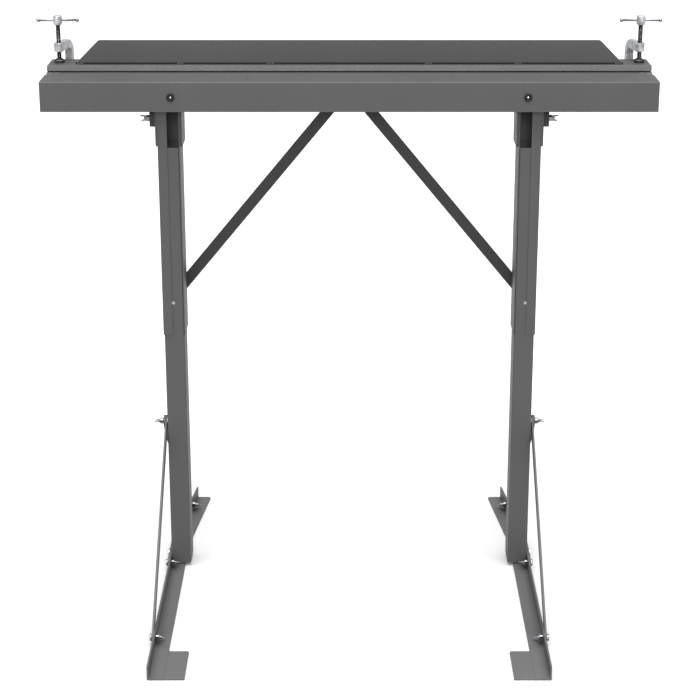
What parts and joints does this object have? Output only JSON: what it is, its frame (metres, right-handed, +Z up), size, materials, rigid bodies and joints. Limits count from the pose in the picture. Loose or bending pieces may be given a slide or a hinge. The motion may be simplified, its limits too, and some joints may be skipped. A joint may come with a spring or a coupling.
{
  "type": "sheet metal bending brake",
  "caption": "Long manual sheet metal brake: a hinged leaf folds sheet clamped between bed and bar, on a bolted stand with splayed feet.",
  "frame": {"origin": "middle of the footprint, on the floor", "axes": "+X along the bending line, +Y to the rear, away from the operator, +Z up"},
  "size_m": [1.037, 0.687, 0.959],
  "materials": {
    "grey_paint": "satin powder coat",
    "zinc_plate": "zinc plated",
    "plated_casting": "zinc plated casting",
    "black_oxide": "black oxide"
  },
  "bodies": {
    "stand": {"bed_angle": "grey_paint", "clamp_bar_shims": "grey_paint", "clamp_bar_plate": "grey_paint", "clamp_bar_stiffener": "grey_paint", "wing_nuts": "zinc_plate", "wing_bolts": "zinc_plate", "frame_bolts": "zinc_plate", "frame_nuts": "zinc_plate", "splice_washers": "zinc_plate", "bed_hinge_lug_left": "grey_paint", "bed_hinge_lug_right": "grey_paint", "hinge_pin_left": "zinc_plate", "hinge_pin_right": "zinc_plate", "leg_socket_left": "grey_paint", "leg_socket_right": "grey_paint", "socket_block_left": "grey_paint", "socket_block_right": "grey_paint", "leg_backing_plate_left": "grey_paint", "leg_backing_plate_right": "grey_paint", "upper_leg_left": "grey_paint", "upper_leg_right": "grey_paint", "lower_leg_left": "grey_paint", "lower_leg_right": "grey_paint", "knee_brace_left": "grey_paint", "knee_brace_right": "grey_paint", "front_base_beam_left": "grey_paint", "front_base_beam_right": "grey_paint", "front_foot_pad_left": "grey_paint", "front_foot_pad_right": "grey_paint", "rear_base_beam_left": "grey_paint", "rear_base_beam_right": "grey_paint", "front_strut_left": "grey_paint", "front_strut_right": "grey_paint", "rear_strut_left": "grey_paint", "rear_strut_right": "grey_paint", "strut_spacer_left": "zinc_plate", "strut_spacer_right": "zinc_plate", "c_clamp_frame_left": "plated_casting", "c_clamp_frame_right": "plated_casting"},
    "leaf": {"leaf_angle": "grey_paint", "handle_socket_bolts": "black_oxide", "leaf_hinge_lug_left": "grey_paint", "leaf_hinge_lug_right": "grey_paint"},
    "left_pad": {"swivel_pad_left": "black_oxide"},
    "left_screw": {"clamp_screw_left": "black_oxide"},
    "left_tommy": {"tommy_bar_left": "zinc_plate"},
    "right_pad": {"swivel_pad_right": "black_oxide"},
    "right_screw": {"clamp_screw_right": "black_oxide"},
    "right_tommy": {"tommy_bar_right": "zinc_plate"}
  },
  "joints": [
    {"name": "leaf_hinge", "type": "hinge", "parent": "stand", "child": "leaf", "pos_m": [0, 0.1092, 0.866], "axis": [-1, 0, 0], "range_deg": [0, 100]},
    {"name": "left_screw_feed", "type": "slide", "parent": "stand", "child": "left_pad", "axis": [0, 0, 1], "range_m": [0, 0.0092]},
    {"name": "left_screw_turn", "type": "hinge", "parent": "left_pad", "child": "left_screw", "pos_m": [-0.483, 0.1465, 0.9], "axis": [0, 0, 1], "range_deg": [0, 2610]},
    {"name": "left_tommy_slide", "type": "slide", "parent": "left_screw", "child": "left_tommy", "axis": [1, 0, 0], "range_m": [-0.021, 0.021]},
    {"name": "right_screw_feed", "type": "slide", "parent": "stand", "child": "right_pad", "axis": [0, 0, 1], "range_m": [0, 0.0092]},
    {"name": "right_screw_turn", "type": "hinge", "parent": "right_pad", "child": "right_screw", "pos_m": [0.483, 0.1465, 0.9], "axis": [0, 0, 1], "range_deg": [0, 2610]},
    {"name": "right_tommy_slide", "type": "slide", "parent": "right_screw", "child": "right_tommy", "axis": [1, 0, 0], "range_m": [-0.021, 0.021]}
  ],
  "couplings": [
    {"joint": "left_screw_feed", "follows": "left_screw_turn", "m_per_rad": 0.00019894},
    {"joint": "right_screw_feed", "follows": "right_screw_turn", "m_per_rad": 0.00019894}
  ]
}
